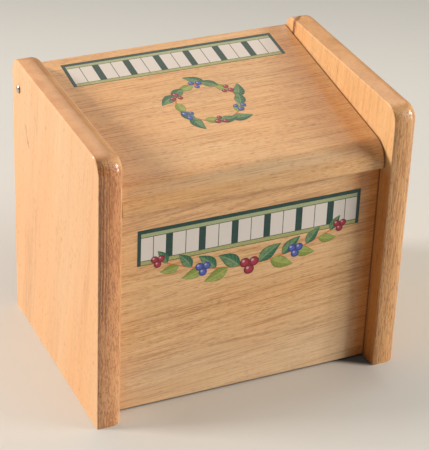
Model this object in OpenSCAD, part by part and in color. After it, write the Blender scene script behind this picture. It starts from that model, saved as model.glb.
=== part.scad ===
// Recipe card box: two thick side boards, front, back and bottom panels between them,
// and a sloping lid that swings up on two steel pins driven in through the sides.
// Millimetres, +Z up, -Y is the front. The origin is on the table under the middle of the box.

/* [Case] */
// Width over the outer faces of the two sides
case_w = 190; // [150:1:240]
// Depth of the sides from front edge to back edge
case_d = 139; // [118:1:190]
// Height of the sides
case_h = 170; // [140:1:230]

/* [Side boards] */
// Thickness of a side board
side_t = 15.4; // [12:0.1:20]
// Radius of the two top corners, seen from the side
corner_r = 10; // [8:0.5:20]
// Large rounding along the front, top and back of one face of each side
round_r = 6.4; // [2:0.2:7]
// Small rounding that breaks the sharp edges
ease_r = 0.8; // [0.4:0.1:1]

/* [Front back and bottom] */
// Thickness of the front panel
front_t = 10; // [8:0.5:14]
// Set-back of the front panel from the front edges of the sides
front_inset = 11.2; // [6:0.2:20]
// Thickness of the back panel
back_t = 10; // [8:0.5:14]
// Gap between the table and the lower edges of the front and back panels
foot_gap = 1; // [0.5:0.1:5]
// Thickness of the bottom panel
bottom_t = 5; // [3:0.5:8]
// Height of the underside of the bottom panel above the table
bottom_z = 8; // [6:0.5:15]
// Depth of the grooves that hold the bottom panel
groove_depth = 4.5; // [2:0.5:6]
// Play of the bottom panel in its grooves
groove_play = 0.2; // [0.1:0.05:0.4]

/* [Dowels] */
// Diameter of the blind dowels in the panel ends
dowel_d = 6; // [4:0.5:6]
// Length of a dowel
dowel_l = 24; // [18:1:30]
// How far a dowel reaches into the side board
dowel_in_side = 9; // [6:0.5:10]
// Height of the lower dowels above the lower edge of the panel
dowel_low = 32; // [25:1:50]
// Distance of the upper dowels below the top of the panel
dowel_high = 26; // [18:1:50]
// Room for glue round a dowel and at its ends
glue_gap = 0.1; // [0.05:0.05:0.3]

/* [Lid] */
// Thickness of the lid board
lid_t = 13.5; // [11.5:0.5:18]
// Slope of the lid down towards the front, in degrees
lid_slope = 8; // [4:0.5:12]
// Height of the side tops above the back edge of the lid
lid_drop = 7.2; // [3:0.2:15]
// How far the lid reaches in front of the front panel
lid_overhang = 4.5; // [2:0.5:6]
// Radius of the rounded front edge of the lid
nose_r = 12.6; // [3:0.1:12.6]
// Radius of the two rounded back edges of the lid
tail_r = 1.5; // [1:0.5:4]
// Gap between the lid and each side
lid_side_gap = 0.5; // [0.3:0.1:2]
// Gap between the closed lid and the top of the front panel
seat_gap = 0.2; // [0.1:0.1:1]
// Gap between the closed lid and the top of the back panel
back_gap = 0.6; // [0.3:0.1:2]

/* [Hinge] */
// Diameter of the hinge pins
pin_d = 4.8; // [3:0.1:5]
// Distance of the pin axis in front of the back edges of the sides
pin_back = 11.6; // [9:0.2:16]
// Depth of the pin axis below the top face of the lid
pin_depth = 8; // [6:0.25:8]
// How far a pin reaches into the lid
pin_in_lid = 18; // [12:1:24]
// How far a pin stands out of the side board
pin_proud = 1; // [0:0.1:2]
// Play between a pin and its bore in the lid, on the radius
pin_play = 0.05; // [0.02:0.01:0.1]
// Opening angle of the lid at which it leans on the back panel, in degrees
open_angle = 105; // [98:1:112]
// Gap left to the back panel at that angle
stop_gap = 0.2; // [0.1:0.1:0.5]

/* [Hidden] */
$fn = 96;

// Cuts run this far past the faces they open
over = 1;
// Chamfer on the ends of pins and dowels
end_chamfer = 0.5;
// Air left beyond the end of a pin in its blind bore
bore_end_gap = 1;

// Planes between the two sides
half_d = case_d / 2;
inner_x = case_w / 2 - side_t;
lid_half_w = inner_x - lid_side_gap;
front_y = -half_d + front_inset;
front_inner_y = front_y + front_t;

// The closed lid: its back edge is cut plumb, flush with the back edges of the sides
lid_top_back_z = case_h - lid_drop;
lid_front_y = front_y - lid_overhang;
lid_l = (half_d - lid_front_y + lid_t * sin(lid_slope)) / cos(lid_slope);
lid_front_z = lid_top_back_z - lid_l * sin(lid_slope) - lid_t * cos(lid_slope);
function underside_z(y) = lid_front_z + (y - lid_front_y) * tan(lid_slope);
// A thin lid board limits the rounding of its front edge
lid_nose_r = min(nose_r, lid_t - ease_r);

// The pin axis, and where it stands in the lid board
pin_y = half_d - pin_back;
pin_z = lid_top_back_z - pin_back * tan(lid_slope) - pin_depth / cos(lid_slope);
pin_to_tail = pin_back / cos(lid_slope) + pin_depth * tan(lid_slope);
pin_to_underside = lid_t - pin_depth;

// Centres of the two back roundings of the lid, along the board from its front edge
tail_top_u = lid_l - tail_r * (1 + sin(lid_slope)) / cos(lid_slope);
tail_low_u = lid_l - (tail_r + (lid_t - tail_r) * sin(lid_slope)) / cos(lid_slope);

// The back panel stands where the lower back edge of the opened lid comes to lean on it
lean = open_angle - lid_slope;
pin_to_tail_low = pin_to_tail - (lid_l - tail_low_u);
tail_swing_y = pin_to_tail_low * cos(lean) - (pin_to_underside - tail_r) * sin(lean) - tail_r;
back_y = pin_y + tail_swing_y - stop_gap;
back_inner_y = back_y - back_t;

// Turns a drawing of the side view, (depth, height), to stand in the model, with its thickness along +X
module side_view() {
    rotate([90, 0, 90]) children();
}

// Quarter of a disc in the first quadrant
module quarter_disc(r) {
    intersection() {
        circle(r);
        square(r);
    }
}

// Outline of a side board drawn in by a margin everywhere but at its foot
module side_outline(margin) {
    for (k = [-1, 1])
        translate([k * (half_d - corner_r), case_h - corner_r]) circle(corner_r - margin);
    translate([-half_d + corner_r, 0]) square([case_d - 2 * corner_r, case_h - margin]);
    translate([-half_d + margin, 0]) square([case_d - 2 * margin, case_h - corner_r]);
}

// The last layer of a side board, whose front, top and back edges are rounded by r
module rounded_layer(r) {
    linear_extrude(r) side_outline(r);
    for (k = [0, 1]) mirror([k, 0, 0]) {
        translate([half_d - r, case_h - corner_r, 0]) rotate([90, 0, 0])
            linear_extrude(case_h - corner_r) quarter_disc(r);
        translate([half_d - corner_r, case_h - corner_r, 0]) rotate_extrude(angle = 90) {
            square([corner_r - r, r]);
            translate([corner_r - r, 0]) quarter_disc(r);
        }
    }
    translate([-half_d + corner_r, case_h - r, 0]) rotate([90, 0, 90])
        linear_extrude(case_d - 2 * corner_r) quarter_disc(r);
}

// A side board before it is bored: the large rounding is on its +X face and the small one on its -X face
module side_blank(x) {
    translate([x, 0, 0]) side_view() {
        translate([0, 0, ease_r]) mirror([0, 0, 1]) rounded_layer(ease_r);
        translate([0, 0, ease_r]) linear_extrude(side_t - round_r - ease_r) side_outline(0);
        translate([0, 0, side_t - round_r]) rounded_layer(round_r);
    }
}

// Heights of the dowels in a panel whose middle stands at y
function dowel_rows(y) = [foot_gap + dowel_low, underside_z(y) - dowel_high];

// Places its children at every dowel on one side, k = -1 left or 1 right, starting in the side board
module dowel_places(k, y_mid) {
    for (z = dowel_rows(y_mid))
        translate([k * (inner_x + dowel_in_side), y_mid, z]) rotate([0, -k * 90, 0]) children();
}

// Blind holes for the dowels of both panels
module dowel_holes(k) {
    for (y_mid = [front_y + front_t / 2, back_y - back_t / 2]) dowel_places(k, y_mid)
        translate([0, 0, -glue_gap]) cylinder(h = dowel_l + 2 * glue_gap, d = dowel_d + 2 * glue_gap);
}

// Round rod along +Z with both ends chamfered
module rod(d, l) {
    cylinder(h = end_chamfer, d1 = d - 2 * end_chamfer, d2 = d);
    translate([0, 0, end_chamfer]) cylinder(h = l - 2 * end_chamfer, d = d);
    translate([0, 0, l - end_chamfer]) cylinder(h = end_chamfer, d1 = d, d2 = d - 2 * end_chamfer);
}

// The four dowels of one panel
module panel_dowels(y_mid) {
    for (k = [-1, 1]) dowel_places(k, y_mid) rod(dowel_d, dowel_l);
}

// Slot all round the card space for the edges of the bottom panel
module bottom_groove() {
    depth = back_inner_y - front_inner_y + 2 * groove_depth;
    translate([-inner_x - groove_depth, front_inner_y - groove_depth, bottom_z - groove_play / 2])
        cube([2 * (inner_x + groove_depth), depth, bottom_t + groove_play]);
}

// A side board, k = -1 left or 1 right, bored for its pin and dowels and grooved for the bottom
module side_panel(k) {
    color("#e9b784") difference() {
        side_blank(k < 0 ? -case_w / 2 : inner_x);
        translate([k * (inner_x - over), pin_y, pin_z]) rotate([0, k * 90, 0])
            cylinder(h = side_t + 2 * over, d = pin_d);
        dowel_holes(k);
        bottom_groove();
    }
}

// An upright board between the sides, its long edges eased
// and its top cut to the slope of the lid, a gap below it
module upright(y, t, gap) {
    low_front = [y + ease_r, foot_gap + ease_r];
    low_back = [y + t - ease_r, foot_gap + ease_r];
    top_front = [y + ease_r, underside_z(y + ease_r) - gap - ease_r / cos(lid_slope)];
    top_back = [y + t - ease_r, underside_z(y + t - ease_r) - gap - ease_r / cos(lid_slope)];
    front_out = [-ease_r, 0];
    back_out = [ease_r, 0];
    top_out = ease_r * [-sin(lid_slope), cos(lid_slope)];
    foot_out = [0, -ease_r];
    translate([-inner_x, 0, 0]) side_view() linear_extrude(2 * inner_x) {
        polygon([
            low_front + foot_out, low_back + foot_out, low_back, low_back + back_out,
            top_back + back_out, top_back, top_back + top_out, top_front + top_out,
            top_front, top_front + front_out, low_front + front_out, low_front
        ]);
        for (corner = [low_front, low_back, top_front, top_back]) translate(corner) circle(ease_r);
    }
}

module front_panel() {
    color("#e3b078") difference() {
        upright(front_y, front_t, seat_gap);
        for (k = [-1, 1]) dowel_holes(k);
        bottom_groove();
    }
}

module back_panel() {
    color("#e3b078") difference() {
        upright(back_inner_y, back_t, back_gap);
        for (k = [-1, 1]) dowel_holes(k);
        bottom_groove();
    }
}

module bottom_panel() {
    reach = groove_depth - groove_play;
    color("#d9b98c")
        translate([-inner_x - reach, front_inner_y - reach, bottom_z])
            cube([2 * (inner_x + reach), back_inner_y - front_inner_y + 2 * reach, bottom_t]);
}

// Side view of the lid board lying flat, its front edge at 0 and its underside at 0
module lid_section() {
    tail_out = tail_r * [cos(lid_slope), -sin(lid_slope)];
    tail_low = [tail_low_u, tail_r];
    tail_top = [tail_top_u, lid_t - tail_r];
    polygon([
        [ease_r, 0], [tail_low_u, 0], tail_low, tail_low + tail_out,
        tail_top + tail_out, tail_top, [tail_top_u, lid_t],
        [lid_nose_r, lid_t], [lid_nose_r, lid_t - lid_nose_r], [0, lid_t - lid_nose_r],
        [0, ease_r], [ease_r, ease_r]
    ]);
    translate(tail_low) circle(tail_r);
    translate(tail_top) circle(tail_r);
    translate([ease_r, ease_r]) rotate(180) quarter_disc(ease_r);
    translate([lid_nose_r, lid_t - lid_nose_r]) rotate(90) quarter_disc(lid_nose_r);
}

module lid() {
    color("#e6b079") difference() {
        translate([-lid_half_w, lid_front_y, lid_front_z]) side_view()
            rotate(lid_slope) linear_extrude(2 * lid_half_w) lid_section();
        for (k = [-1, 1])
            translate([k * (lid_half_w + over), pin_y, pin_z]) rotate([0, -k * 90, 0])
                cylinder(h = pin_in_lid + bore_end_gap + over, r = pin_d / 2 + pin_play);
    }
}

// A hinge pin, k = -1 left or 1 right, from its end outside the side board into the lid
module hinge_pin(k) {
    color("#b9bcc0") translate([k * (case_w / 2 + pin_proud), pin_y, pin_z]) rotate([0, -k * 90, 0])
        rod(pin_d, pin_proud + side_t + lid_side_gap + pin_in_lid);
}

module front_panel_dowels() {
    color("#d8bd93") panel_dowels(front_y + front_t / 2);
}

module back_panel_dowels() {
    color("#d8bd93") panel_dowels(back_y - back_t / 2);
}

side_panel(-1);  // left_side_panel
side_panel(1);  // right_side_panel
front_panel();
back_panel();
bottom_panel();
front_panel_dowels();
back_panel_dowels();
lid();
hinge_pin(-1);  // left_hinge_pin
hinge_pin(1);  // right_hinge_pin
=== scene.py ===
"""Finishes a wooden recipe card box: oiled wood for every board, steel for the hinge pins,
a printed tile band and a printed spray of leaves and berries on the lid and on the front,
and a plain studio with the camera. Metres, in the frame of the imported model."""

import math

import bpy
import numpy as np
from bpy.props import FloatProperty, FloatVectorProperty, IntProperty, PointerProperty
from mathutils import Matrix, Vector


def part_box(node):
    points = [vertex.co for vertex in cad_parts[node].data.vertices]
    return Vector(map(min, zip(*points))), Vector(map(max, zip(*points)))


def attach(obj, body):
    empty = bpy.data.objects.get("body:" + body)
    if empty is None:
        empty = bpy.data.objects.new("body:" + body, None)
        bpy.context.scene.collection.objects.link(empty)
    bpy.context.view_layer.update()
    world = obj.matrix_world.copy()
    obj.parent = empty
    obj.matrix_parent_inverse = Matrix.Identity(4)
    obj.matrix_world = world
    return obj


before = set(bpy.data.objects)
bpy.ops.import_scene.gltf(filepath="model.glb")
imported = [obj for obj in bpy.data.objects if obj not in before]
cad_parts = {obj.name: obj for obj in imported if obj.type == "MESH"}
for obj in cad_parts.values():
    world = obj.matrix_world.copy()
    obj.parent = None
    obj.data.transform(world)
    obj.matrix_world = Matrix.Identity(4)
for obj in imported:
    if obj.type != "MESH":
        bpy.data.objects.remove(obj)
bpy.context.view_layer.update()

bl_info = {
    "name": "Recipe card box",
    "version": (1, 0, 0),
    "blender": (4, 5, 0),
    "location": "View3D > Sidebar > Card box",
    "description": "Finishes of a wooden recipe card box with printed bands and sprays",
    "category": "Object",
}

MM = 0.001


# Places read from the frame

LID_LOW, LID_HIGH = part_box("lid")
FRONT_LOW, FRONT_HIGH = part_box("front_panel")
LEFT_LOW, LEFT_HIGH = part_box("left_side_panel")
RIGHT_LOW, RIGHT_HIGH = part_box("right_side_panel")
PIN_LOW, PIN_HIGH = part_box("left_hinge_pin")


def mesh_points(node):
    """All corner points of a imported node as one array."""
    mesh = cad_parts[node].data
    points = np.empty(len(mesh.vertices) * 3, np.float32)
    mesh.vertices.foreach_get("co", points)
    return points.reshape(-1, 3).astype(float)


# Sizes and colours that a user may change


def length(name, text, value, low=0.0, high=1.0):
    return FloatProperty(
        name=name, description=text, default=value, min=low, max=high, unit="LENGTH", precision=5
    )


def share(name, text, value, low=0.0, high=1.0):
    return FloatProperty(name=name, description=text, default=value, min=low, max=high)


def angle(name, text, degrees):
    return FloatProperty(
        name=name, description=text, default=math.radians(degrees), unit="ROTATION", subtype="ANGLE"
    )


def colour(name, text, value):
    return FloatVectorProperty(
        name=name, description=text, default=value, size=3, min=0.0, max=1.0, subtype="COLOR"
    )


class WoodSettings(bpy.types.PropertyGroup):
    pale: colour("Pale wood", "Lightest growth of the wood", (0.745, 0.465, 0.228))
    middle: colour("Middle wood", "Main tone of the wood", (0.665, 0.388, 0.178))
    brown: colour("Brown wood", "Darkest growth of the wood", (0.500, 0.255, 0.100))
    pore: colour("Pores", "Open pores that show as short dark flecks", (0.250, 0.095, 0.030))
    # The mark colour serves bark marks and the painted shade in the seams.
    mark: colour("Marks", "Bark marks and the painted shade in a seam", (0.130, 0.040, 0.012))
    ring_width: length("Ring width", "Mean distance between growth rings", 3.4 * MM)
    pore_length: length("Pore length", "Length of the small cells that hold one pore each", 6 * MM)
    pore_width: length("Pore width", "Width of the small cells that hold one pore each", 0.62 * MM)
    lacquer: share("Lacquer", "Weight of the clear coat", 0.45)
    lacquer_roughness: share("Lacquer roughness", "Roughness of the clear coat", 0.08)
    roughness: share("Wood roughness", "Roughness under the lacquer", 0.46)


class BandSettings(bpy.types.PropertyGroup):
    lid_slope: angle("Lid slope", "Slope of the closed lid down towards the front", 8.0)
    lid_width: length("Lid band width", "Length of the lid's band from end to end", 133.5 * MM)
    lid_height: length("Lid band height", "Height of the lid's band", 23.4 * MM)
    lid_back: length("Lid band place", "Distance from the lid's back edge to the band", 7.4 * MM)
    lid_shift: length("Lid band shift", "Place of the band's middle along the lid", -1.6 * MM, low=-0.1)
    lid_pitch: length("Lid bar pitch", "Distance from one dark bar to the next", 18.95 * MM)
    front_width: length("Front band width", "Length of the front's band from end to end", 136 * MM)
    front_height: length("Front band height", "Height of the front's band", 22.6 * MM)
    front_top: length("Front band place", "Height of the front band's top edge", 117.6 * MM)
    front_shift: length("Front band shift", "Place of the band's middle along the front", 0.0, low=-0.1)
    front_pitch: length("Front bar pitch", "Distance from one dark bar to the next", 19.7 * MM)
    bars: IntProperty(name="Bars", description="Dark bars in a band", default=6, min=1)
    bar: length("Bar width", "Width of a dark bar between two pairs of tiles", 4.1 * MM)
    end: length("End width", "Width of the dark end of a band", 2.1 * MM)
    top: length("Top line", "Height of the dark line along the top", 2.4 * MM)
    sage: length("Sage line", "Height of the sage line above and below the tiles", 2.2 * MM)
    line: length("Fine line", "Width of the fine lines round the tiles", 0.45 * MM)
    film: length("Film thickness", "Thickness of one layer of the print", 0.05 * MM)
    tile_ink: colour("Tile", "Off-white of the tiles", (0.635, 0.585, 0.55))
    dark_ink: colour("Dark green", "Bars, ends and top line", (0.008, 0.047, 0.040))
    sage_ink: colour("Sage green", "Line above the tiles", (0.30, 0.36, 0.21))
    lime_ink: colour("Yellow green", "Line below the tiles", (0.31, 0.325, 0.13))
    olive_ink: colour("Olive", "Fine lines", (0.085, 0.095, 0.04))


class SpraySettings(bpy.types.PropertyGroup):
    swag_half: length("Swag half width", "Half the width of the swag on the front", 57 * MM)
    swag_end: length("Swag ends", "Height of the swag's two ends", 97 * MM)
    swag_low: length("Swag middle", "Height of the swag's lowest point", 82 * MM)
    wreath_radius: length("Wreath radius", "Radius of the wreath's ring on the lid", 18.5 * MM)
    wreath_back: length("Wreath place", "Distance from the lid's back edge to its middle", 65 * MM)
    leaf: length("Leaf length", "Length of a full-grown leaf", 17 * MM)
    berry: length("Berry size", "Diameter of a large berry", 6.2 * MM)
    stem: length("Stem width", "Width of a stem", 1.0 * MM)
    deep_ink: colour("Deep green", "Darker leaves", (0.016, 0.110, 0.058))
    lime_ink: colour("Lime green", "Lighter leaves", (0.200, 0.245, 0.040))
    red_ink: colour("Crimson", "Red berries", (0.370, 0.022, 0.050))
    blue_ink: colour("Violet blue", "Blue berries", (0.075, 0.110, 0.420))
    stem_ink: colour("Orange", "Stems", (0.640, 0.150, 0.055))


class StageSettings(bpy.types.PropertyGroup):
    azimuth: angle("Azimuth", "Turn of the camera round the box, 0 looks along +Y", -25.22)
    elevation: angle("Elevation", "Height of the camera above the horizon", 30.68)
    roll: angle("Roll", "Turn of the camera about its own line of sight", 2.4126)
    distance: length("Distance", "Distance from the camera to the aim point", 1.0868, high=10.0)
    lens: FloatProperty(name="Lens", description="Focal length in mm", default=148.62, min=1.0)
    aim: FloatVectorProperty(
        name="Aim", description="Point that the camera looks at", size=3, subtype="TRANSLATION",
        default=(2.23 * MM, -5.78 * MM, 77.8 * MM),
    )
    floor: colour("Floor", "Pale paper floor", (0.785, 0.785, 0.75))
    key_power: FloatProperty(name="Key", description="Power of the key light", default=86.0)
    key_tint: colour("Key tint", "Colour of the key light", (1.0, 0.88, 0.78))
    fill_power: FloatProperty(name="Fill", description="Power of the fill light", default=45.0)
    fill_tint: colour("Fill tint", "Colour of the fill light", (1.0, 0.96, 0.90))
    window_power: FloatProperty(name="Window", description="Power of the small bright light", default=10.0)
    window_tint: colour("Window tint", "Colour of the small bright light", (1.0, 0.97, 0.92))
    low_power: FloatProperty(name="Low", description="Power of the low front light", default=22.0)
    low_tint: colour("Low tint", "Colour of the low front light", (1.0, 0.96, 0.90))
    top_power: FloatProperty(name="Top", description="Power of the top light", default=7.5)
    top_tint: colour("Top tint", "Colour of the top light", (1.0, 0.90, 0.77))
    floor_power: FloatProperty(name="Floor light", description="Power of the floor's own light", default=69.0)
    floor_tint: colour("Floor light tint", "Colour of the floor's own light", (1.0, 0.952, 0.895))
    sky_strength: share("Sky", "Strength of the even light from all round", 0.12, high=5.0)


SETTINGS = {
    "card_box_wood": WoodSettings,
    "card_box_band": BandSettings,
    "card_box_spray": SpraySettings,
    "card_box_stage": StageSettings,
}


# Shader nodes


class NodeBench:
    """Adds nodes to one tree. An input takes a number, a colour or another node's output."""

    def __init__(self, tree):
        self.tree = tree

    def put(self, socket, value):
        if isinstance(value, bpy.types.NodeSocket):
            self.tree.links.new(value, socket)
        elif socket.type == "RGBA" and len(value) == 3:
            socket.default_value = (*value, 1.0)
        elif socket.type == "VECTOR" and np.ndim(value) == 0:
            socket.default_value = (value, value, value)
        else:
            socket.default_value = value

    def add(self, kind, inputs=None, **choices):
        node = self.tree.nodes.new("ShaderNode" + kind)
        for name, value in choices.items():
            setattr(node, name, value)
        for key, value in (inputs or {}).items():
            self.put(node.inputs[key], value)
        return node

    def math(self, operation, *values, clamp=False):
        inputs = dict(enumerate(values))
        return self.add("Math", inputs, operation=operation, use_clamp=clamp).outputs[0]

    def vector(self, operation, *values):
        node = self.add("VectorMath", dict(enumerate(values)), operation=operation)
        single = operation in ("DOT_PRODUCT", "LENGTH", "DISTANCE")
        return node.outputs["Value" if single else "Vector"]

    def mix(self, factor, first, second, blend="MIX"):
        node = self.add("Mix", data_type="RGBA", blend_type=blend)
        for key, value in ((0, factor), (6, first), (7, second)):
            self.put(node.inputs[key], value)
        return node.outputs[2]

    def blend(self, factor, first, second):
        node = self.add("Mix", data_type="FLOAT")
        for key, value in ((0, factor), (2, first), (3, second)):
            self.put(node.inputs[key], value)
        return node.outputs[0]

    def step(self, value, low, high, to_low=0.0, to_high=1.0):
        """Goes smoothly from to_low to to_high while the value goes from low to high."""
        inputs = {0: value, 1: low, 2: high, 3: to_low, 4: to_high}
        return self.add("MapRange", inputs, interpolation_type="SMOOTHSTEP").outputs[0]

    def group(self, name, **inputs):
        """Places a node group that is already built and returns its outputs."""
        return self.add("Group", inputs, node_tree=bpy.data.node_groups[name]).outputs

    def noise(self, vector, scale=1.0, detail=2.0, roughness=0.5, distortion=0.0):
        inputs = {"Scale": scale, "Detail": detail, "Roughness": roughness, "Distortion": distortion}
        return self.add("TexNoise", {"Vector": vector, **inputs}).outputs["Fac"]


def node_group(name, inputs, outputs):
    """A new shader node group with named sockets: its bench, its input node and its output node."""
    tree = bpy.data.node_groups.new(name, "ShaderNodeTree")
    kinds = {"float": "NodeSocketFloat", "vector": "NodeSocketVector", "color": "NodeSocketColor"}
    for in_out, sockets in (("INPUT", inputs), ("OUTPUT", outputs)):
        for socket, kind in sockets.items():
            tree.interface.new_socket(name=socket, in_out=in_out, socket_type=kinds[kind])
    bench = NodeBench(tree)
    start = tree.nodes.new("NodeGroupInput")
    end = tree.nodes.new("NodeGroupOutput")
    return bench, start.outputs, end.inputs


def ring_group():
    """Growth rings: the distance from a pith line that runs along the board, wavering slowly,
    read through a one-dimensional noise."""
    bench, given, made = node_group(
        "growth_rings",
        {"Vector": "vector", "Pith": "vector", "Ring width": "float", "Waver": "float", "Seed": "float"},
        {"Ring": "float"},
    )
    slow_place = bench.vector("MULTIPLY", given["Vector"], (9.0, 30.0, 30.0))
    slow = bench.noise(bench.vector("ADD", slow_place, given["Seed"]), detail=1.5)
    from_pith = bench.vector("SUBTRACT", given["Vector"], given["Pith"])
    across = bench.vector("LENGTH", bench.vector("MULTIPLY", from_pith, (0.0, 1.0, 1.0)))
    waver = bench.math("MULTIPLY", bench.math("SUBTRACT", slow, 0.5), given["Waver"])
    turns = bench.math("DIVIDE", bench.math("ADD", across, waver), given["Ring width"])
    turns = bench.math("ADD", turns, given["Seed"])
    ring = bench.add("TexNoise", {"W": turns, "Detail": 2.0}, noise_dimensions="1D").outputs[0]
    bench.put(made["Ring"], ring)


def pore_group():
    """Pores: one spindle in each long thin cell of a Voronoi pattern, drawn out along the grain.
    A random number of its cell says whether it shows, and a slow noise gathers them in streaks."""
    bench, given, made = node_group(
        "pores",
        {"Vector": "vector", "Length": "float", "Width": "float", "Size": "float", "Share": "float"},
        {"Mask": "float"},
    )
    wide = bench.math("DIVIDE", 1.0, given["Width"])
    long = bench.math("DIVIDE", 1.0, given["Length"])
    scale = bench.add("CombineXYZ", {0: long, 1: wide, 2: wide}).outputs[0]
    cells = bench.add(
        "TexVoronoi",
        {"Vector": bench.vector("MULTIPLY", given["Vector"], scale), "Scale": 1.0},
        feature="F1",
    ).outputs
    streaky = bench.noise(bench.vector("MULTIPLY", given["Vector"], (14.0, 130.0, 130.0)), detail=1.0)
    share = bench.math("MULTIPLY", given["Share"], bench.step(streaky, 0.32, 0.68, 0.35, 1.6))
    chance = bench.add("SeparateColor", {0: cells["Color"]}).outputs
    inner = bench.math("MULTIPLY", given["Size"], 0.55)
    spot = bench.step(cells["Distance"], inner, given["Size"], 1.0, 0.0)
    shown = bench.step(bench.math("SUBTRACT", share, chance[0]), 0.0, 0.12)
    depth = bench.math("MULTIPLY_ADD", chance[1], 0.6, 0.4)
    bench.put(made["Mask"], bench.math("MULTIPLY", bench.math("MULTIPLY", spot, shown), depth))


def wear_and_seam_shade_group():
    """Edge wear: how near a point is to the rim of a rectangle, given by its two corners in
    the grain directions, broken up by a noise. The seam is painted shade: a dark line
    where the two ends of the board meet its neighbours."""
    bench, given, made = node_group(
        "edge_wear",
        {"Vector": "vector", "Low": "vector", "High": "vector", "Reach": "float", "Gap": "float"},
        {"Mask": "float", "Seam": "float"},
    )
    low = bench.vector("SUBTRACT", given["Vector"], given["Low"])
    high = bench.vector("SUBTRACT", given["High"], given["Vector"])
    near = bench.add("SeparateXYZ", {0: bench.vector("MINIMUM", low, high)}).outputs
    rim = bench.math("MINIMUM", near[0], near[1])
    patchy = bench.noise(given["Vector"], scale=160.0, detail=3.0)
    reach = bench.math("MULTIPLY", given["Reach"], bench.step(patchy, 0.3, 0.7, 0.25, 1.6))
    bench.put(made["Mask"], bench.step(rim, 0.0, reach, 1.0, 0.0))
    inner = bench.math("MULTIPLY", given["Gap"], 0.3)
    bench.put(made["Seam"], bench.step(near[0], inner, given["Gap"], 1.0, 0.0))


def mark_group():
    """A dark mark, such as a bark line: a thin wavering sheet across the given direction, cut
    off by a spindle round its middle. The size is half its length, width and depth."""
    bench, given, made = node_group(
        "wood_mark",
        {"Vector": "vector", "Middle": "vector", "Size": "vector", "Across": "vector", "Thick": "float"},
        {"Mask": "float"},
    )
    away = bench.vector("SUBTRACT", given["Vector"], given["Middle"])
    reach = bench.vector("LENGTH", bench.vector("DIVIDE", away, given["Size"]))
    wobble = bench.math("SUBTRACT", bench.noise(given["Vector"], scale=210.0, detail=3.0), 0.5)
    wobble = bench.math("MULTIPLY", wobble, bench.math("MULTIPLY", given["Thick"], 3.0))
    sheet = bench.math("ADD", wobble, bench.vector("DOT_PRODUCT", away, given["Across"]))
    line = bench.math("DIVIDE", bench.math("ABSOLUTE", sheet), given["Thick"])
    bench.put(
        made["Mask"],
        bench.math("MULTIPLY", bench.step(line, 0.25, 1.0, 1.0, 0.0), bench.step(reach, 0.6, 1.0, 1.0, 0.0)),
    )


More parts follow.
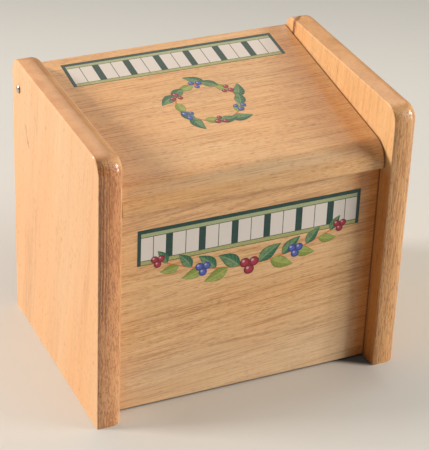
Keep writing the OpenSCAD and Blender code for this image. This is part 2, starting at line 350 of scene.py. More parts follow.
def lumber_group(wood):
    """One board's colour, roughness and height from its grain directions: x along the grain,
    y across the board and z through it. Broad soft streaks, narrow streaks, growth rings and
    fibres add up to one tone; pores lie over it; edges are browner and more streaked."""
    bench, given, made = node_group(
        "lumber",
        {
            "Vector": "vector", "Pith": "vector", "Seed": "float", "Contrast": "float",
            "End grain": "float", "Edge grain": "float", "Wear": "float", "Tint": "color",
            "Pores": "float", "Mark": "float", "Shade": "float", "Streaks": "float",
            "Edge contrast": "float", "Edge tint": "color", "End tint": "color",
            "Edge pores": "float", "Pale": "float",
        },
        {"Color": "color", "Roughness": "float", "Height": "float"},
    )
    place = bench.vector("ADD", given["Vector"], given["Seed"])
    rings = bench.group(
        "growth_rings", **{"Vector": given["Vector"], "Pith": given["Pith"], "Seed": given["Seed"]},
        **{"Ring width": wood.ring_width, "Waver": 9 * MM},
    )["Ring"]
    layers = (
        (bench.noise(bench.vector("MULTIPLY", place, (14.0, 330.0, 330.0)), detail=3.0, roughness=0.6), 1.25),
        (bench.noise(bench.vector("MULTIPLY", place, (48.0, 1500.0, 1500.0)), detail=3.0), 2.0),
        (rings, 0.55),
    )
    tone = 0.0
    for layer, weight in layers:
        tone = bench.math("MULTIPLY_ADD", bench.math("SUBTRACT", layer, 0.5), weight, tone)
    fibre = layers[1][0]
    livelier = bench.blend(given["Edge grain"], given["Contrast"], given["Edge contrast"])
    livelier = bench.math("MULTIPLY", livelier, bench.math("MULTIPLY_ADD", given["End grain"], -0.5, 1.0))
    broad = bench.noise(bench.vector("MULTIPLY", place, (4.0, 55.0, 55.0)), distortion=0.3)
    streaks = bench.math("MULTIPLY", bench.math("SUBTRACT", broad, 0.5), given["Streaks"])
    tone = bench.math("MULTIPLY_ADD", tone, livelier, streaks)
    tone = bench.math("MULTIPLY_ADD", given["End grain"], 0.30, bench.math("ADD", tone, 0.5))
    light_half = bench.mix(bench.step(tone, 0.0, 0.5), wood.pale, wood.middle)
    color = bench.mix(bench.step(tone, 0.5, 1.0), light_half, wood.brown)
    more = bench.blend(given["Edge grain"], given["Pores"], given["Edge pores"])
    fine = bench.group(
        "pores", Vector=place, Length=wood.pore_length * 0.6, Width=wood.pore_width * 0.5,
        Size=0.44, Share=bench.math("MULTIPLY", 0.85, more),
    )["Mask"]
    coarse = bench.group(
        "pores", Vector=place, Length=wood.pore_length, Width=wood.pore_width,
        Size=0.36, Share=bench.math("MULTIPLY", 0.50, more),
    )["Mask"]
    color = bench.mix(bench.math("MULTIPLY", fine, 0.38), color, wood.pore)
    bolder = bench.blend(given["Edge grain"], 0.62, 1.0)
    pore = bench.mix(given["Edge grain"], wood.pore, wood.mark)
    color = bench.mix(bench.math("MULTIPLY", coarse, bolder), color, pore)
    # Mark holds bark marks and the painted shade of the seams.
    color = bench.mix(bench.math("MULTIPLY", given["Mark"], 0.85), color, wood.mark)
    color = bench.mix(bench.math("MULTIPLY", given["Wear"], 0.14), color, wood.pale)
    patch = bench.noise(bench.vector("MULTIPLY", place, (9.0, 26.0, 26.0)), detail=2.0)
    hue = bench.mix(bench.step(patch, 0.32, 0.68), (1.02, 0.965, 0.90), (0.975, 1.01, 1.05))
    hue = bench.mix(given["Edge grain"], hue, given["Edge tint"])
    hue = bench.mix(given["Shade"], hue, (0.90, 0.64, 0.36))
    hue = bench.mix(given["End grain"], hue, given["End tint"])
    color = bench.mix(1.0, bench.mix(1.0, color, hue, "MULTIPLY"), given["Tint"], "MULTIPLY")
    # Painted light: the Pale input mixes the colour towards a light cream.
    color = bench.mix(given["Pale"], color, (1.0, 0.92, 0.74))
    bench.put(made["Color"], color)
    depth = bench.math("MULTIPLY_ADD", fine, 0.35, coarse)
    rough = bench.math("MULTIPLY_ADD", fibre, 0.10, wood.roughness - 0.05)
    rough = bench.math("MULTIPLY_ADD", depth, 0.12, rough)
    rough = bench.math("MULTIPLY_ADD", given["End grain"], 0.08, rough)
    bench.put(made["Roughness"], bench.math("MULTIPLY_ADD", given["Wear"], -0.06, rough))
    bench.put(made["Height"], bench.math("MULTIPLY_ADD", fibre, 0.30, bench.math("MULTIPLY", depth, -1.0)))


def ensure_groups(context):
    """Builds the shared node groups the first time that a material needs them."""
    if "lumber" not in bpy.data.node_groups:
        ring_group()
        pore_group()
        wear_and_seam_shade_group()
        mark_group()
        lumber_group(context.scene.card_box_wood)


def new_material(name):
    material = bpy.data.materials.new(name)
    material.use_nodes = True
    bench = NodeBench(material.node_tree)
    return material, bench, material.node_tree.nodes["Principled BSDF"]


# Grain directions: the turn, in degrees about X, Y and Z, that lays a board's grain along x,
# its width along y and its thickness along z

SIDE_TURN = (0.0, 90.0)
UPRIGHT_TURN = (-90.0, 0.0)
FLAT_TURN = (0.0, 0.0)


PLAIN_BOARD = {
    "contrast": 1.0, "streaks": 0.95, "slant": 0.0, "pores": 1.0, "tint": (1.0, 1.0, 1.0),
    "edge": 0.0, "edge_contrast": 1.7, "edge_tint": (0.74, 0.60, 0.50), "seam": 0.0, "gap": 0.9 * MM, "marks": (),
    "shade": (), "edge_pores": 1.7,
    "edge_foot": 1.0, "end_tint": (1.0, 0.915, 0.86),
    "crown": None, "pale": (), "shaded_pale": 1.0, "matt": 1.0, "edge_coat": 1.0,
}


def wood_material(context, name, turn, pith, seed, **traits):
    """Lacquered wood for one board. The object coordinates are turned to the grain directions,
    and the object normal tells faces, edges and end grain apart. The slant, in degrees, lets
    the grain run out of the board's own direction, as it does in sawn wood. A mark is its
    middle, half sizes, direction across and thickness, in the grain directions, and its weight."""
    trait = {**PLAIN_BOARD, **traits}
    wood = context.scene.card_box_wood
    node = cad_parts[name]
    material, bench, shader = new_material(name + "_wood")
    about_x, about_y = (math.radians(degrees) for degrees in turn)
    coordinates = bench.add("TexCoord").outputs
    square, facing = (
        bench.add("Mapping", {"Vector": source, "Rotation": (about_x, about_y, 0.0)}).outputs[0]
        for source in (coordinates["Object"], coordinates["Normal"])
    )
    grain = bench.add("Mapping", {"Vector": square, "Rotation": (0.0, 0.0, math.radians(trait["slant"]))}).outputs[0]
    side = bench.add("SeparateXYZ", {0: bench.vector("ABSOLUTE", facing)}).outputs
    turned = np.array(Matrix.Rotation(about_y, 3, "Y") @ Matrix.Rotation(about_x, 3, "X"))
    points = mesh_points(name) @ turned.T
    wear_and_seam_shade = bench.group(
        "edge_wear", Vector=square, Low=points.min(0), High=points.max(0), Reach=3 * MM, Gap=trait["gap"],
    )
    # Painted shade: the board's faces are darkened in a thin line along its two ends, where it meets its neighbours.
    mark = bench.math("MULTIPLY", wear_and_seam_shade["Seam"], bench.step(side[0], 0.3, 0.7, trait["seam"], 0.0))
    along = bench.add("SeparateXYZ", {0: square}).outputs
    shade = 0.0
    for patch in trait["shade"]:
        deep = bench.step(side[2], 0.4, 0.9)
        for axis, clear, dark in patch:
            deep = bench.math("MULTIPLY", deep, bench.step(along[axis], clear, dark))
        shade = bench.math("MAXIMUM", shade, deep)
    edge = bench.step(along[0], 20 * MM, 130 * MM, trait["edge"] * trait["edge_foot"], trait["edge"])
    # Pale strips are painted light: smooth steps along one grain axis pale the colour by their summed weights, and a
    # board may leave them out where its painted shade lies.
    pale = 0.0
    for axis, clear, full, weight in trait["pale"]:
        pale = bench.math("ADD", pale, bench.step(along[axis], clear, full, 0.0, weight))
    pale = bench.math("MULTIPLY", pale, bench.step(shade, 0.0, 1.0, 1.0, trait["shaded_pale"]))
    for middle, size, across, thick, weight in trait["marks"]:
        spot = bench.group("wood_mark", Vector=square, Middle=middle, Size=size, Across=across, Thick=thick)
        mark = bench.math("MAXIMUM", mark, bench.math("MULTIPLY", spot[0], weight))
    end = bench.step(side[0], 0.55, 0.95)
    board = bench.group(
        "lumber", Vector=grain, Pith=(0.0, *pith), Seed=seed, Contrast=trait["contrast"],
        Tint=trait["tint"], Pores=trait["pores"], Wear=wear_and_seam_shade[0], Mark=mark, Shade=shade,
        Streaks=trait["streaks"], Pale=pale,
        **{"Edge contrast": trait["edge_contrast"], "Edge tint": trait["edge_tint"]},
        **{"End grain": end, "End tint": trait["end_tint"], "Edge pores": trait["edge_pores"]},
        **{"Edge grain": bench.step(side[1], 0.40, 0.95, 0.0, edge)},
    )
    bump = bench.add("Bump", {"Strength": 0.35, "Distance": 0.12 * MM, "Height": board["Height"]})
    if trait["crown"] is not None:
        fullness = bench.blend(end, 1.0, trait["crown"])
        bench.put(bump.inputs["Normal"], crown(bench, points.max(0)[2], along[2], fullness))
    bench.put(shader.inputs["Base Color"], board["Color"])
    bench.put(shader.inputs["Roughness"], board["Roughness"])
    bench.put(shader.inputs["Normal"], bump.outputs[0])
    lacquer(shader, wood, matt=trait["matt"])
    if trait["edge_coat"] != 1.0:
        edge_coat = wood.lacquer * trait["edge_coat"]
        bench.put(shader.inputs["Coat Weight"], bench.step(side[1], 0.25, 0.6, wood.lacquer, edge_coat))
    for slot in node.material_slots:
        slot.material = material


def crown(bench, sharp, through, fullness):
    """The slightly full edges of a side board: the surface leans back towards the sharp arris
    and over towards the round one, as a parabola of the distance from the sharp arris. Its
    fullness may differ on the top."""
    away = bench.math("MINIMUM", bench.math("SUBTRACT", sharp, through), 12 * MM)
    slope = bench.math("MULTIPLY_ADD", away, -28.0, 0.27)
    height = bench.math("MULTIPLY", away, slope)
    return bench.add("Bump", {"Strength": 1.0, "Distance": fullness, "Height": height}).outputs[0]


def lacquer(shader, wood, shine=1.0, coat=1.0, matt=1.0):
    """The thin clear coat that lies over wood and, more weakly, over the print."""
    shader.inputs["Specular IOR Level"].default_value = 0.34 * shine
    shader.inputs["Coat Weight"].default_value = wood.lacquer * coat
    shader.inputs["Coat Roughness"].default_value = wood.lacquer_roughness * matt
    shader.inputs["Coat IOR"].default_value = 1.48


# Printed shapes: each part of a print holds its grid of points on a face, its own coordinates
# and its ink


def grid(count_u, count_v, low_u=0.0, high_u=1.0, low_v=-1.0, high_v=1.0):
    """Two arrays: u grows down the rows and v grows along the columns."""
    return np.meshgrid(np.linspace(low_u, high_u, count_u), np.linspace(low_v, high_v, count_v), indexing="ij")


def part(x, y, lift, u, v, ink):
    return {"x": x, "y": y, "lift": lift, "uv": np.stack([u, v], -1), "ink": (*ink, 1.0)}


def ribbon(path, width, lift, ink, count=60):
    """A flat stem. Its middle line is a function of u from 0 to 1 that gives x and y, and each
    point lies v half widths to the left of the line, which thins to two thirds at its ends."""
    u, v = grid(count, 3)
    x, y = path(u)
    along_x, along_y = np.gradient(x, axis=0), np.gradient(y, axis=0)
    size = np.hypot(along_x, along_y)
    half = width / 2 * (2 / 3 + 1 / 3 * np.sin(np.pi * u))
    return part(x - along_y / size * half * v, y + along_x / size * half * v, lift, u, v, ink)


def leaf(x, y, heading, size, bend, lift, ink):
    """A plain oval leaf. Its midrib is an arc that leaves (x, y) at the heading and turns by
    the bend, and its half width is a sine of u, fuller towards the stalk."""
    u, v = grid(15, 7, 0.02, 0.98)
    chord = size * u * np.sinc(bend * u / 2 / np.pi)
    middle = heading + bend * u / 2
    half = size * 0.235 * np.sin(np.pi * u) ** 0.9 * (1 + 0.3 * np.cos(np.pi * u))
    turn = heading + bend * u
    across = half * v
    return part(
        x + chord * np.cos(middle) - across * np.sin(turn),
        y + chord * np.sin(middle) + across * np.cos(turn),
        lift, u, v, ink,
    )


def berry(x, y, size, lift, ink):
    """A round berry: a square grid drawn out to a disc, so that it has neither pole nor seam.
    Each coordinate is shortened by the square root of 1 less half the other's square."""
    u, v = grid(9, 9, -1.0)
    a, b = u * np.sqrt(1 - v**2 / 2), v * np.sqrt(1 - u**2 / 2)
    return part(x + a * size / 2, y + b * size / 2, lift, a, b, ink)


def face_frame(node, outward):
    """The plane of a node's flat face with that outward normal: its middle line's origin, the
    direction to the right along X, and the direction up the face."""
    normal = np.array(outward, float)
    right = np.array((1.0, 0.0, 0.0))
    up = np.cross(normal, right)
    return normal * (mesh_points(node) @ normal).max(), right, up, normal


def printed(name, face, parts, material, film, body, closed=False):
    """One printed film of several parts. Corner colours carry the ink, the coordinates lie in a
    UV map, and the film gets its thickness towards the wood."""
    origin, right, up, normal = face
    points, quads, coordinates, inks = [], [], [], []
    count = 0
    for item in parts:
        rows, columns = item["x"].shape
        spots = item["x"][..., None] * right + item["y"][..., None] * up + item["lift"] * normal
        index = np.arange(rows * columns).reshape(rows, columns) + count
        if closed:
            index = np.concatenate([index[:-1], index[:1]])
        corners = np.stack([index[:-1, :-1], index[1:, :-1], index[1:, 1:], index[:-1, 1:]], -1)
        points.append((origin + spots).reshape(-1, 3))
        quads.append(corners.reshape(-1, 4))
        coordinates.append(item["uv"].reshape(-1, 2))
        inks.append(np.broadcast_to(item["ink"], (corners.size, 4)))
        count += rows * columns
    points, quads = np.concatenate(points), np.concatenate(quads)
    used, quads = np.unique(quads, return_inverse=True)
    quads = quads.reshape(-1, 4)
    mesh = bpy.data.meshes.new(name)
    mesh.from_pydata(points[used], [], quads)
    loops = np.concatenate(coordinates)[used][quads.ravel()]
    mesh.uv_layers.new(name="print").data.foreach_set("uv", loops.ravel())
    ink = mesh.color_attributes.new("ink", "FLOAT_COLOR", "CORNER")
    ink.data.foreach_set("color", np.concatenate(inks).ravel())
    mesh.materials.append(material)
    piece = bpy.data.objects.new(name, mesh)
    bpy.context.scene.collection.objects.link(piece)
    solid = piece.modifiers.new("film", "SOLIDIFY")
    solid.thickness = film
    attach(piece, body)


class CARDBOX_OT_boards(bpy.types.Operator):
    """Give every board its lacquered wood"""

    bl_idname = "cardbox.boards"
    bl_label = "Boards"

    def execute(self, context):
        ensure_groups(context)
        lid_turn = (-math.degrees(context.scene.card_box_band.lid_slope), 0.0)
        back_y, top_z = RIGHT_HIGH.y, RIGHT_HIGH.z
        bark = (
            (top_z - 3 * MM, back_y - 9.5 * MM, -RIGHT_LOW.x - 3 * MM), (15 * MM, 12 * MM, 13 * MM),
            (0.19, 0.69, 0.69), 1.5 * MM, 1.0,
        )
        specks = (
            (
                (top_z - 41 * MM, back_y - 25 * MM, -LEFT_LOW.x), (10 * MM, 6 * MM, 5 * MM),
                (0.42, -0.91, 0.0), 1.3 * MM, 0.45,
            ),
            (
                (top_z - 26 * MM, back_y - 41 * MM, -LEFT_LOW.x), (8 * MM, 5 * MM, 5 * MM),
                (0.30, -0.95, 0.0), 1.0 * MM, 0.25,
            ),
        )
        lines = tuple(
            (
                (top_z - drop, LEFT_LOW.y, -LEFT_LOW.x - inward), (62 * MM, 9 * MM, 9 * MM),
                (0.004, 0.0, 1.0), thick, weight,
            )
            for inward, drop, thick, weight in (
                (1.3 * MM, 52 * MM, 0.55 * MM, 0.75), (2.9 * MM, 45 * MM, 0.60 * MM, 0.85),
                (4.6 * MM, 60 * MM, 0.50 * MM, 0.65), (6.3 * MM, 30 * MM, 0.40 * MM, 0.50),
            )
        )
        # The left board's tint, paler and less orange than the other boards', is painted light: it stands in for the
        # strong key light on this board.
        wood_material(
            context, "left_side_panel", SIDE_TURN, (-0.02, 0.21), 3.1, contrast=0.36, streaks=0.9,
            slant=9.0, pores=0.45, tint=(1.045, 1.052, 1.12), edge=1.0, edge_contrast=4.2,
            edge_tint=(0.73, 0.50, 0.355), edge_pores=1.5, edge_foot=0.7, end_tint=(0.935, 0.835, 0.765),
            crown=2.0, edge_coat=2.1, matt=0.7, marks=specks + lines,
        )
        wood_material(
            context, "right_side_panel", SIDE_TURN, (0.03, -0.17), 8.6, contrast=0.75, streaks=0.7,
            slant=3.0, pores=0.7, tint=(1.06, 1.09, 1.10), edge=1.0, edge_contrast=2.2,
            edge_tint=(0.74, 0.62, 0.51), end_tint=(0.97, 0.885, 0.85),
            crown=0.0, edge_coat=1.5, marks=(bark,),
            shade=(
                (
                    (1, FRONT_LOW.y + 0.5 * MM, FRONT_LOW.y - 0.5 * MM),
                    (0, FRONT_HIGH.z + 4 * MM, FRONT_HIGH.z - 8 * MM),
                ),
            ),
        )
        # The front panel's seam along both ends is painted shade, and its pale strips are painted light: paler
        # towards its foot, where the floor's reflection falls, and a little paler near its top.
        wood_material(
            context, "front_panel", UPRIGHT_TURN, (0.12, -0.10), 5.2, contrast=1.12, slant=-4.0, pores=1.3, seam=1.0, gap=1.5 * MM,
            shade=(
                ((0, FRONT_HIGH.x - 17 * MM, FRONT_HIGH.x - 4 * MM),),
                ((0, FRONT_HIGH.x - 26 * MM, FRONT_HIGH.x - 6 * MM), (1, 108 * MM, 122 * MM)),
                ((0, FRONT_LOW.x + 25 * MM, FRONT_LOW.x - 30 * MM), (1, 50 * MM, 14 * MM)),
            ),
            pale=((1, 52 * MM, 14 * MM, 0.17), (1, 98 * MM, 122 * MM, 0.06)), shaded_pale=0.0,
        )
        wood_material(context, "back_panel", UPRIGHT_TURN, (0.09, 0.10), 1.7, slant=2.0)
        lid_back = lid_back_edge(lid_face(context))
        lid_top = (mesh_points("lid") @ lid_face(context)[3]).max()
        # The lid's seam along both ends is painted shade, and its pale strips are painted light on the upper part of
        # its rounded front, just below the flat top.
        wood_material(
            context, "lid", lid_turn, (0.16, 0.12), 12.4, contrast=0.9, streaks=0.6, slant=-1.5,
            pores=1.25, seam=1.0, matt=2.5,
            pale=(
                (2, lid_top - 0.05 * MM, lid_top - 0.9 * MM, 0.14),
                (2, lid_top - 1.6 * MM, lid_top - 6 * MM, -0.14),
            ),
            shade=(
                ((0, LID_LOW.x + 60 * MM, LID_LOW.x - 45 * MM), (1, lid_back - 30 * MM, lid_back - 80 * MM)),
                (
                    (0, LID_HIGH.x - 46 * MM, LID_HIGH.x + 20 * MM),
                    (0, LID_HIGH.x - 3 * MM, LID_HIGH.x - 11 * MM),
                ),
            ),
        )
        wood_material(context, "bottom_panel", FLAT_TURN, (0.0, -0.2), 9.3, contrast=0.7, pores=0.5)
        for name in ("front_panel_dowels", "back_panel_dowels"):
            wood_material(context, name, FLAT_TURN, (0.2, 0.2), 6.6, contrast=0.6)
        return {"FINISHED"}


class CARDBOX_OT_pins(bpy.types.Operator):
    """Give the hinge pins their turned steel"""

    bl_idname = "cardbox.pins"
    bl_label = "Hinge pins"

    def execute(self, context):
        material, bench, shader = new_material("turned_steel")
        coordinates = bench.add("TexCoord").outputs
        place = coordinates["Object"]
        middle = (PIN_LOW + PIN_HIGH) / 2
        centred = bench.vector("SUBTRACT", place, (0.0, middle.y, middle.z))
        flat = bench.vector("MULTIPLY", centred, (0.0, 1.0, 1.0))
        radius = bench.vector("LENGTH", flat)
        rings = bench.add("CombineXYZ", {0: bench.math("MULTIPLY", radius, 9000.0)}).outputs[0]
        turned = bench.noise(rings, detail=2.0)
        stain = bench.noise(place, scale=420.0, detail=3.0)
        color = bench.mix(bench.step(stain, 0.45, 0.75), (0.62, 0.57, 0.49), (0.34, 0.27, 0.20))
        # Painted shade: the side of each pin, round its proud end, is darkened nearly to black.
        facing = bench.add("SeparateXYZ", {0: bench.vector("ABSOLUTE", coordinates["Normal"])}).outputs
        color = bench.mix(bench.step(facing[0], 0.3, 0.7, 0.85, 0.0), color, (0.05, 0.035, 0.02))
        bench.put(shader.inputs["Base Color"], color)
        shader.inputs["Metallic"].default_value = 1.0
        bench.put(shader.inputs["Roughness"], bench.step(turned, 0.2, 0.8, 0.22, 0.42))
        bump = bench.add("Bump", {"Strength": 0.2, "Distance": 0.02 * MM, "Height": turned})
        bench.put(shader.inputs["Normal"], bump.outputs[0])
        for name in ("left_hinge_pin", "right_hinge_pin"):
            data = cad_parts[name].data
            data.materials.clear()
            data.materials.append(material)
        return {"FINISHED"}


def ink_material(name, context, paint):
    """Print under the lacquer: its ink is a corner colour, changed by the function paint."""
    material, bench, shader = new_material(name)
    ink = bench.add("Attribute", attribute_name="ink", attribute_type="GEOMETRY").outputs["Color"]
    place = bench.add("TexCoord").outputs
    worn = bench.noise(bench.vector("MULTIPLY", place["Object"], (60.0, 900.0, 900.0)), detail=3.0)
    faded = bench.mix(bench.step(worn, 0.45, 0.85, 0.0, 0.03), paint(bench, ink, place), (0.50, 0.36, 0.22))
    bench.put(shader.inputs["Base Color"], faded)
    bench.put(shader.inputs["Roughness"], bench.step(worn, 0.3, 0.7, 0.36, 0.46))
    bump = bench.add("Bump", {"Strength": 0.15, "Distance": 0.03 * MM, "Height": worn})
    bench.put(shader.inputs["Normal"], bump.outputs[0])
    lacquer(shader, context.scene.card_box_wood, 0.75, 0.75, 2.5)
    return material


def lid_face(context):
    slope = context.scene.card_box_band.lid_slope
    return face_frame("lid", (0.0, -math.sin(slope), math.cos(slope)))


def lid_back_edge(face):
    """How far up its slope the lid's flat top reaches."""
    return (mesh_points("lid") @ face[2]).max()


FRONT_NORMAL = (0.0, -1.0, 0.0)


class CARDBOX_OT_bands(bpy.types.Operator):
    """Print the band of tiles on the lid and on the front"""

    bl_idname = "cardbox.bands"
    bl_label = "Tile bands"

    def execute(self, context):
        band = context.scene.card_box_band
        material = ink_material("band_print", context, self.paint)
        top_face = lid_face(context)
        lid_top = lid_back_edge(top_face) - band.lid_back
        lid = self.band(band, band.lid_width, band.lid_height, band.lid_pitch, band.lid_shift, lid_top)
        printed("lid_band", top_face, lid, material, band.film, "lid")
        front_face = face_frame("front_panel", FRONT_NORMAL)
        front = self.band(
            band, band.front_width, band.front_height, band.front_pitch, band.front_shift, band.front_top
        )
        printed("front_band", front_face, front, material, band.film, "box")
        return {"FINISHED"}

    def paint(self, bench, ink, place):
        """Green lines are speckled with yellow, and every ink is a little cloudy."""
        cloudy = bench.noise(place["Object"], scale=260.0, detail=3.0)
        speckle = bench.noise(place["Object"], scale=1300.0, detail=2.0)
        green = bench.add("SeparateColor", {0: ink}).outputs
        is_line = bench.step(bench.math("SUBTRACT", green[1], green[2]), 0.10, 0.16)
        dots = bench.math("MULTIPLY", bench.step(speckle, 0.5, 0.62), is_line)
        dotted = bench.mix(bench.math("MULTIPLY", dots, 0.5), ink, (0.50, 0.47, 0.20))
        return bench.mix(bench.step(cloudy, 0.3, 0.7, 0.0, 0.02), dotted, (0.40, 0.38, 0.35))

    def band(self, band, width, height, pitch, middle, top):
        """The band as one grid of cells: columns at the edges of ends, bars and fine lines, rows
        at the edges of lines and tiles, and one ink for each cell."""
        bars = (np.arange(band.bars) - (band.bars - 1) / 2) * pitch
        inner = width / 2 - band.end
        starts = np.concatenate([[-inner], bars + band.bar / 2])
        ends = np.concatenate([bars - band.bar / 2, [inner]])
        fine = (starts + ends) / 2
        columns = np.stack([starts, fine - band.line / 2, fine + band.line / 2, ends], 1).ravel()
        columns = np.concatenate([[-width / 2], columns, [width / 2]])
        inks = np.array([band.dark_ink, band.olive_ink, band.lime_ink, band.tile_ink, band.sage_ink])
        dark, olive, lime, tile, sage = range(5)
        across = np.array([dark] + [tile, olive, tile, dark] * (band.bars + 1))
        fixed = [band.line, band.sage, band.line, 0.0, band.line, band.sage, band.top]
        fixed[3] = height - sum(fixed)
        rows = top - height + np.concatenate([[0.0], np.cumsum(fixed)])
        cells = np.empty((len(columns) - 1, len(fixed)), int)
        cells[:] = (olive, lime, olive, tile, olive, sage, dark)
        cells[:, 3] = across
        cells[0], cells[-1] = dark, dark
        x, y = np.meshgrid(columns + middle, rows, indexing="ij")
        made = part(x, y, band.film, x, y, (0.0, 0.0, 0.0))
        colours = np.concatenate([inks[cells.ravel()], np.ones((cells.size, 1))], 1)
        made["ink"] = np.repeat(colours, 4, axis=0)
        return [made]


class CARDBOX_OT_sprays(bpy.types.Operator):
    """Print a wreath on the lid and a swag on the front, both of leaves and berries"""

    bl_idname = "cardbox.sprays"
    bl_label = "Wreath and swag"

    def execute(self, context):
        spray = context.scene.card_box_spray
        film = context.scene.card_box_band.film
        inks = {
            "stem": ink_material("stem_print", context, lambda bench, ink, place: ink),
            "leaves": ink_material("leaf_print", context, self.paint_leaf),
            "berries": ink_material("berry_print", context, self.paint_berry),
        }
        top_face = lid_face(context)
        centre = lid_back_edge(top_face) - spray.wreath_back
        wreath = self.wreath(spray, centre, film)
        swag = self.swag(spray, film)
        front_face = face_frame("front_panel", FRONT_NORMAL)
        for kind, material in inks.items():
            ring = kind == "stem"
            printed("lid_" + kind, top_face, wreath[kind], material, film, "lid", closed=ring)
            printed("front_" + kind, front_face, swag[kind], material, film, "box")
        return {"FINISHED"}

    def paint_leaf(self, bench, ink, place):
        """Pale midrib and side veins, a darker rim, and one half a little lighter."""
        u, v = bench.add("SeparateXYZ", {0: place["UV"]}).outputs[:2]
        off = bench.math("ABSOLUTE", v)
        lighter = bench.mix(1.0, ink, (0.35, 0.42, 0.16), "SCREEN")
        half = bench.step(v, -0.7, 0.7, 0.0, 0.28)
        washed = bench.noise(place["Object"], scale=420.0, detail=2.0)
        color = bench.mix(bench.math("MULTIPLY", half, bench.step(washed, 0.3, 0.7, 0.5, 1.5)), ink, lighter)
        veins = bench.math("FRACT", bench.math("MULTIPLY_ADD", off, -1.3, bench.math("MULTIPLY", u, 6.0)))
        vein = bench.math("MAXIMUM", bench.step(veins, 0.0, 0.16, 1.0, 0.0), bench.step(off, 0.05, 0.14, 1.0, 0.0))
        color = bench.mix(bench.math("MULTIPLY", vein, 0.38), color, lighter)
        rim = bench.step(off, 0.80, 1.0, 0.0, 0.55)
        return bench.mix(rim, color, bench.mix(1.0, ink, (0.35, 0.4, 0.35), "MULTIPLY"))

    def paint_berry(self, bench, ink, place):
        """A round shade: dark at the rim and away from the light, with a pale glint."""
        away = bench.vector("LENGTH", place["UV"])
        dark = bench.mix(1.0, ink, (0.28, 0.25, 0.32), "MULTIPLY")
        color = bench.mix(bench.step(away, 0.35, 1.0, 0.0, 0.85), ink, dark)
        glint = bench.vector("DISTANCE", place["UV"], (-0.32, 0.36, 0.0))
        pale = bench.mix(1.0, ink, (0.45, 0.40, 0.42), "SCREEN")
        return bench.mix(bench.step(glint, 0.08, 0.42, 0.85, 0.0), color, pale)

    def wreath(self, spray, middle, film):
        """A ring with leaves that lean in and out by turns and berries between them."""
        radius = spray.wreath_radius

        def ring(u):
            return radius * np.cos(2 * np.pi * u), middle + radius * np.sin(2 * np.pi * u)

        stems = [ribbon(ring, spray.stem, film * 1.2, spray.stem_ink, 97)]
        leaves, berries = [], []
        count = 15
        for number in range(count):
            turn = 2 * math.pi * number / count
            lean = (0.62, -0.42, 0.05)[number % 3]
            ink = (spray.deep_ink, spray.lime_ink, spray.deep_ink)[number % 3]
            x, y = ring(number / count)
            heading = turn + math.pi / 2 - lean
            size = spray.leaf * (0.84, 0.70, 0.78)[number % 3]
            lift = film * (1.5 + 0.25 * (number % 3))
            leaves.append(leaf(x, y, heading, size, 0.5 * np.sign(lean), lift, ink))
        for number in range(6):
            turn = math.pi / 6 + math.pi * number / 3
            ink = (spray.red_ink, spray.blue_ink)[number % 2]
            for step, away, size in ((-0.11, 1.04, 0.62), (0.11, 1.08, 0.55), (0.0, 0.86, 0.50)):
                x, y = radius * away * math.cos(turn + step), radius * away * math.sin(turn + step)
                lift = film * (2.4 + 0.2 * len(berries) % 1.0)
                berries.append(berry(x, middle + y, spray.berry * size, lift, ink))
        return {"stem": stems, "leaves": leaves, "berries": berries}

    def swag(self, spray, film):
        """A hanging bow of leaves, the same on both sides of its middle, with berries at the
        middle, at the quarters and at the ends. The bow is a parabola."""
        half, low, end = spray.swag_half, spray.swag_low, spray.swag_end

        def bow(u):
            t = 2 * u - 1
            return half * t, low + (end - low) * t**2

        stems = [ribbon(bow, spray.stem, film * 1.2, spray.stem_ink, 90)]
        leaves, berries = [], []
        for number in range(7):
            t = 0.10 + 0.13 * number
            x, y = bow(0.5 + t / 2)
            slope = math.atan2(2 * (end - low) * t, half)
            size = spray.leaf * (1.0 - 0.06 * number)
            lean = (0.75, -0.7)[number % 2]
            ink = (spray.deep_ink, spray.lime_ink)[number % 2]
            lift = film * (1.5 + 0.25 * (number % 3))
            bend = -0.5 * lean
            leaves.append(leaf(x, y, slope + lean, size, bend, lift, ink))
            leaves.append(leaf(-x, y, math.pi - slope - lean, size, -bend, lift + film * 0.1, ink))
        groups = ((0.0, spray.red_ink, 1.0), (0.5, spray.blue_ink, 0.8), (0.98, spray.red_ink, 0.7))
        for t, ink, scale in groups:
            for side in (1, -1) if t else (1,):
                x, y = bow(0.5 + side * t / 2)
                for turn in (0.5, 2.6, 4.7):
                    reach = spray.berry * 0.52 * scale
                    lift = film * (2.4 + 0.2 * len(berries) % 1.0)
                    spot = (x + reach * math.cos(turn), y + reach * math.sin(turn))
                    berries.append(berry(*spot, spray.berry * scale, lift, ink))
        return {"stem": stems, "leaves": leaves, "berries": berries}


# Lights: name, what it reaches, bearing (0 behind the box, 90 to its right) and elevation in
# degrees, distance, width and height in metres, share of its power, and what its tint is
# multiplied by

LIGHTS = (
    ("key", "box", (-51.5, 23.5), 2.4, (0.50, 0.50), 1.0, (1.0, 1.0, 1.0)),
    ("fill", "box", (120.0, 27.0), 2.4, (0.92, 0.85), 0.78, (1.0, 1.0, 1.0)),
    ("window", "box", (112.0, 22.0), 2.4, (0.13, 0.13), 1.0, (1.0, 1.0, 1.0)),
    ("low", "box", (122.0, 4.0), 2.4, (1.0, 0.7), 1.0, (1.0, 1.0, 1.0)),
    ("top", "box", (31.0, 47.0), 1.7, (1.2, 1.2), 1.0, (1.0, 1.0, 1.0)),
    ("key", "floor", (-70.5, 23.5), 2.4, (0.60, 0.60), 0.42, (1.0, 1.05, 1.11)),
    ("fill", "floor", (120.0, 27.0), 2.4, (0.92, 0.85), 0.33, (1.0, 1.0, 1.0)),
    ("low", "floor", (122.0, 4.0), 2.4, (1.0, 0.7), 0.1, (1.0, 1.0, 1.0)),
    ("floor", "floor", (0.0, 90.0), 2.5, (5.0, 5.0), 1.0, (1.0, 1.0, 1.0)),
)


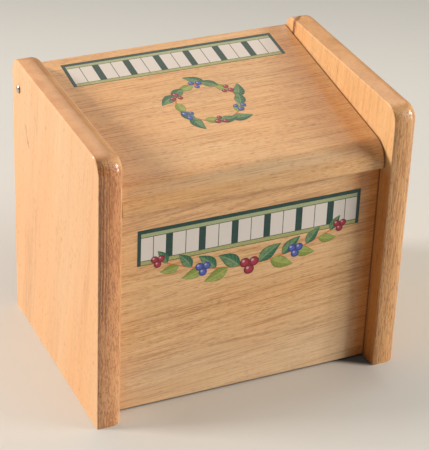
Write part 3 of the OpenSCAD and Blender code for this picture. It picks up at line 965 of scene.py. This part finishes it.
class CARDBOX_OT_stage(bpy.types.Operator):
    """Lay the floor and set the lights and the camera"""

    bl_idname = "cardbox.stage"
    bl_label = "Stage"

    def execute(self, context):
        stage = context.scene.card_box_stage
        floor = self.floor(context, stage)
        for name, reach, place, distance, size, part_of, scale in LIGHTS:
            power, tint = getattr(stage, name + "_power"), getattr(stage, name + "_tint")
            tint = [own * by for own, by in zip(tint, scale)]
            lamp = self.light(context, f"{name}_on_{reach}", place, distance, size, power * part_of, tint)
            self.shine_on(lamp, floor, {"box": "EXCLUDE", "floor": "INCLUDE"}[reach])
        self.sky(context, stage)
        self.camera(context, stage)
        context.scene.view_settings.view_transform = "Standard"
        return {"FINISHED"}

    def floor(self, context, stage):
        """A flat square sheet of paper with painted shade. It grows darker with its distance behind the
        box, seen from the front, as a studio backdrop does, a little darker at the front, darker and
        browner along a stretch just in front of the front panel, and nearly black in the corner between
        the front panel and the right side board, where hardly any light reaches it."""
        half, count = 3.0, 25
        x, y = grid(count, count, -half, half, -half, half)
        points = np.stack([x, y, np.zeros_like(x)], -1).reshape(-1, 3)
        index = np.arange(count * count).reshape(count, count)
        quads = np.stack([index[:-1, :-1], index[1:, :-1], index[1:, 1:], index[:-1, 1:]], -1)
        mesh = bpy.data.meshes.new("floor")
        mesh.from_pydata(points, [], quads.reshape(-1, 4))
        material, bench, shader = new_material("pale_paper")
        place = bench.add("TexCoord").outputs["Object"]
        cloudy = bench.noise(place, scale=3.0, detail=2.0)
        behind = (-math.sin(stage.azimuth), math.cos(stage.azimuth), 0.0)
        depth = bench.vector("DOT_PRODUCT", place, behind)
        # Painted shade: darker with the distance behind the box, over a faint cloudy tone.
        shade = bench.math("MULTIPLY_ADD", cloudy, 0.04, bench.step(depth, 0.30, 0.62, 0.0, 0.29))
        # Painted shade: a little darker at the front.
        shade = bench.math("ADD", shade, bench.step(depth, -0.125, -0.085, 0.045, 0.0))
        # Painted shadow: nearly black in the corner between the front panel and the right side board.
        corner = bench.vector("SUBTRACT", place, (RIGHT_LOW.x, FRONT_LOW.y, 0.0))
        reach = (1 / (17.6 * MM), 1 / (FRONT_LOW.y - RIGHT_LOW.y), 0.0)
        painted_nook_shade = bench.step(bench.vector("DOT_PRODUCT", corner, reach), -1.3, -0.75)
        away = bench.add("SeparateXYZ", {0: corner}).outputs
        for axis in (0, 1):
            painted_nook_shade = bench.math("MULTIPLY", painted_nook_shade, bench.step(away[axis], 3 * MM, 4 * MM, 1.0, 0.0))
        front = RIGHT_LOW.y - FRONT_LOW.y
        painted_nook_shade = bench.math("MULTIPLY", painted_nook_shade, bench.step(away[1], front - 1.0 * MM, front + 1.5 * MM))
        shade = bench.math("MAXIMUM", shade, bench.math("MULTIPLY", painted_nook_shade, 0.88))
        # Painted shade: darker and browner along a stretch just in front of the front panel.
        painted_front_shade = 0.13
        for axis, clear, full in (
            (0, 5 * MM - 2 * RIGHT_LOW.x, 39 * MM - 2 * RIGHT_LOW.x), (0, 4 * MM, -6 * MM),
            (1, -45 * MM, -18 * MM), (1, 8 * MM, -2 * MM),
        ):
            painted_front_shade = bench.math("MULTIPLY", painted_front_shade, bench.step(away[axis], clear, full))
        paper = bench.mix(painted_front_shade, stage.floor, (0.30, 0.12, 0.0))
        bench.put(shader.inputs["Base Color"], bench.mix(shade, paper, (0.0, 0.0, 0.0)))
        shader.inputs["Roughness"].default_value = 0.85
        shader.inputs["Specular IOR Level"].default_value = 0.2
        mesh.materials.append(material)
        floor = bpy.data.objects.new("floor", mesh)
        context.scene.collection.objects.link(floor)
        return floor

    def light(self, context, name, place, distance, size, power, tint):
        """A soft box of that width and height, facing the box from its bearing and elevation."""
        bearing, elevation = (math.radians(degrees) for degrees in place)
        data = bpy.data.lights.new(name, "AREA")
        data.energy = power
        data.shape = "RECTANGLE"
        data.size, data.size_y = size
        data.color = tint
        lamp = bpy.data.objects.new(name, data)
        level = math.cos(elevation)
        towards = Vector((math.sin(bearing) * level, math.cos(bearing) * level, math.sin(elevation)))
        lamp.location = Vector((0.0, 0.0, 0.08)) + towards * distance
        lamp.rotation_euler = towards.to_track_quat("Z", "Y").to_euler()
        context.scene.collection.objects.link(lamp)
        return lamp

    def shine_on(self, lamp, floor, choice):
        """Flags a light off the floor, or lets it reach nothing but the floor."""
        reached = bpy.data.collections.new(lamp.name + "_reach")
        reached.objects.link(floor)
        reached.collection_objects[0].light_linking.link_state = choice
        lamp.light_linking.receiver_collection = reached

    def sky(self, context, stage):
        world = bpy.data.worlds.new("studio")
        world.use_nodes = True
        background = world.node_tree.nodes["Background"]
        background.inputs["Color"].default_value = (1.0, 0.90, 0.79, 1.0)
        background.inputs["Strength"].default_value = stage.sky_strength
        context.scene.world = world

    def camera(self, context, stage):
        """The camera stands back from its aim point and is rolled about its line of sight."""
        turn, height = stage.azimuth, stage.elevation
        back = Vector(
            (math.sin(turn) * math.cos(height), -math.cos(turn) * math.cos(height), math.sin(height))
        )
        level = Vector((math.cos(turn), math.sin(turn), 0.0))
        above = back.cross(level)
        right = level * math.cos(stage.roll) + above * math.sin(stage.roll)
        up = above * math.cos(stage.roll) - level * math.sin(stage.roll)
        data = bpy.data.cameras.new("camera")
        data.lens = stage.lens
        camera = bpy.data.objects.new("camera", data)
        camera.matrix_world = Matrix.Translation(Vector(stage.aim) + back * stage.distance) @ (
            Matrix((right, up, back)).transposed().to_4x4()
        )
        context.scene.collection.objects.link(camera)
        context.scene.camera = camera


class CARDBOX_PT_panel(bpy.types.Panel):
    """Lists the pieces of the box"""

    bl_label = "Card box"
    bl_space_type = "VIEW_3D"
    bl_region_type = "UI"
    bl_category = "Card box"

    def draw(self, context):
        for operator in OPERATORS:
            self.layout.operator(operator.bl_idname)
        for name, group in SETTINGS.items():
            box = self.layout.box()
            for field in group.__annotations__:
                box.prop(getattr(context.scene, name), field)


OPERATORS = (
    CARDBOX_OT_stage, CARDBOX_OT_boards, CARDBOX_OT_pins, CARDBOX_OT_bands, CARDBOX_OT_sprays,
)
CLASSES = (*SETTINGS.values(), *OPERATORS, CARDBOX_PT_panel)


def register():
    for item in CLASSES:
        bpy.utils.register_class(item)
    for name, group in SETTINGS.items():
        setattr(bpy.types.Scene, name, PointerProperty(type=group))


def unregister():
    for name in SETTINGS:
        delattr(bpy.types.Scene, name)
    for item in reversed(CLASSES):
        bpy.utils.unregister_class(item)


def main():
    register()
    for operator in OPERATORS:
        family, name = operator.bl_idname.split(".")
        getattr(getattr(bpy.ops, family), name)()


if __name__ == "__main__":
    main()
